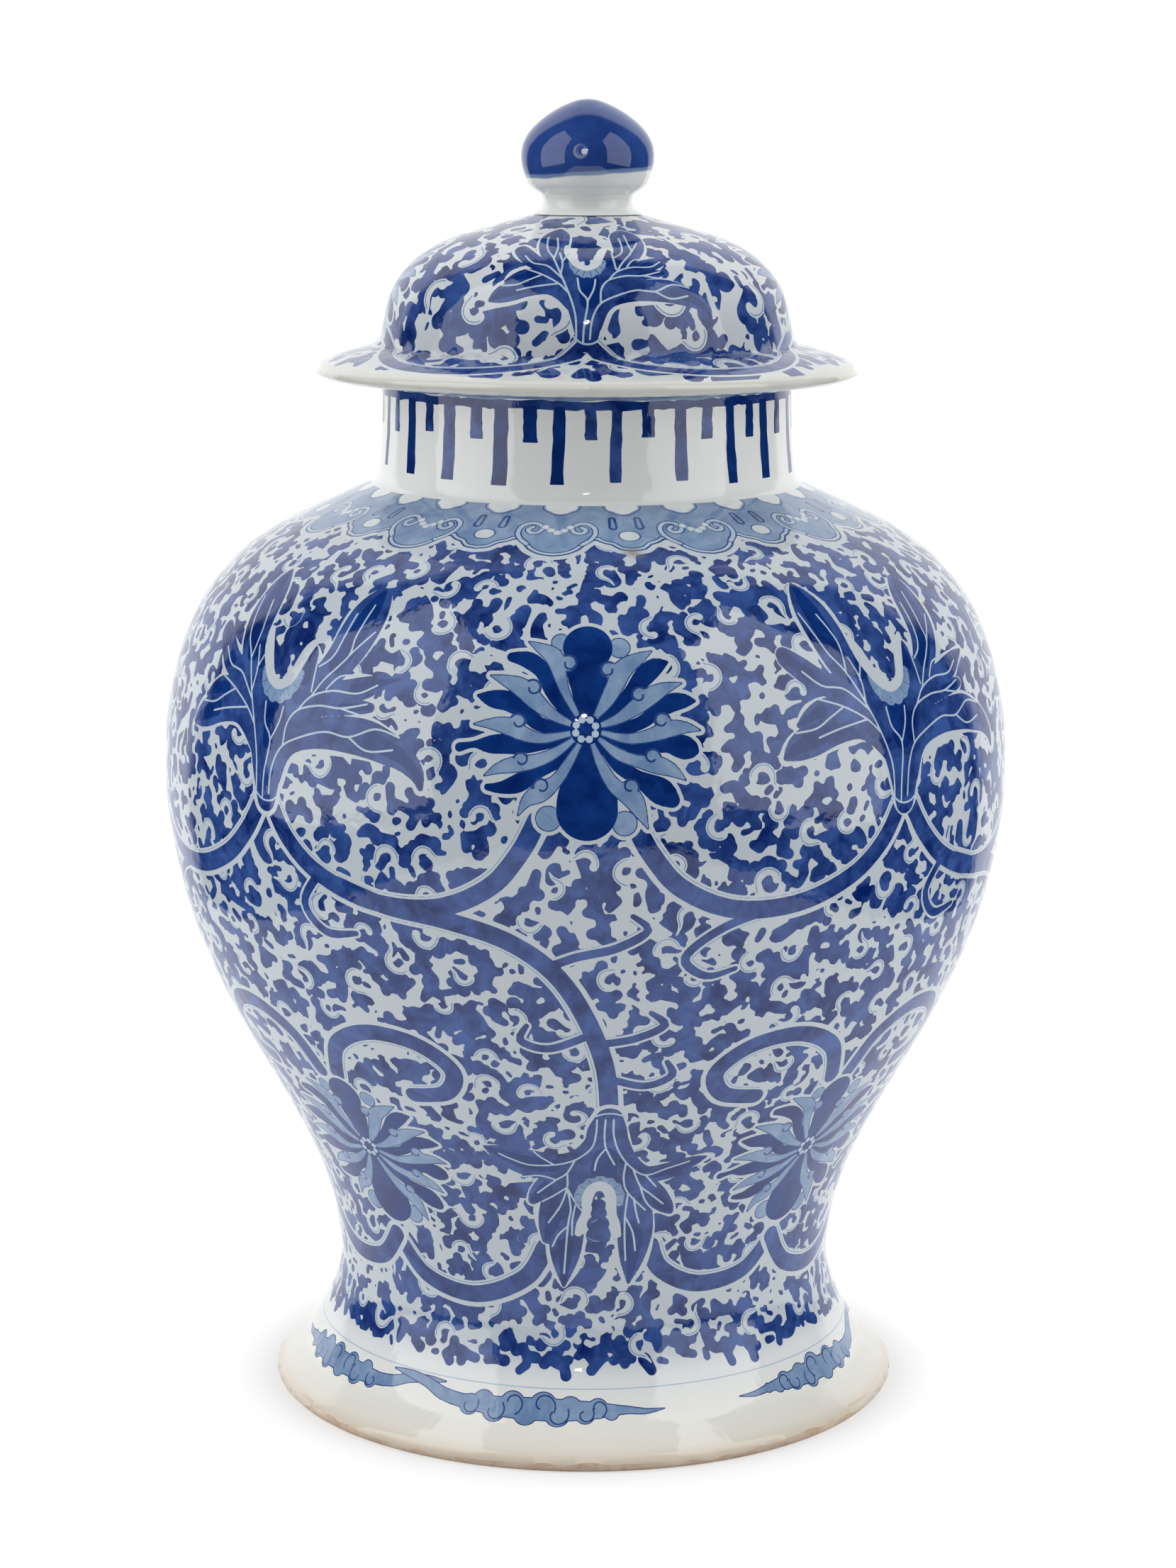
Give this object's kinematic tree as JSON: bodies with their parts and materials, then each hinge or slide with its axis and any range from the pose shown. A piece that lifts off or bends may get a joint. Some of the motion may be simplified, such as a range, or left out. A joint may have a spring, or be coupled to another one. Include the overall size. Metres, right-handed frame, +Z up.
{
  "type": "covered baluster jar",
  "caption": "Tall blue and white porcelain baluster jar with a high shoulder, flared foot and loose domed cover with a round knob.",
  "frame": {"origin": "centre of the jar's unglazed foot ring, on the surface it stands on", "axes": "+Z up along the axis that the jar was thrown on; -Y faces the viewer of the picture, where the upper flower is"},
  "size_m": [0.2932, 0.2932, 0.4504],
  "materials": {
    "painted_porcelain": "clear glossy glaze over cobalt blue painting on white porcelain",
    "bare_porcelain": "unglazed porcelain biscuit",
    "cobalt_porcelain": "clear glossy glaze over an even dark cobalt wash"
  },
  "bodies": {
    "jar": {"foot": "painted_porcelain", "lower_body": "painted_porcelain", "upper_body": "painted_porcelain", "neck": "painted_porcelain"},
    "lid": {"lid_dome": "painted_porcelain", "lid_collar": "bare_porcelain", "knob": "cobalt_porcelain"}
  },
  "joints": [
    {"name": "lid_lift", "type": "slide", "parent": "jar", "child": "lid", "axis": [0, 0, 1], "range_m": [0, 0.12]}
  ]
}
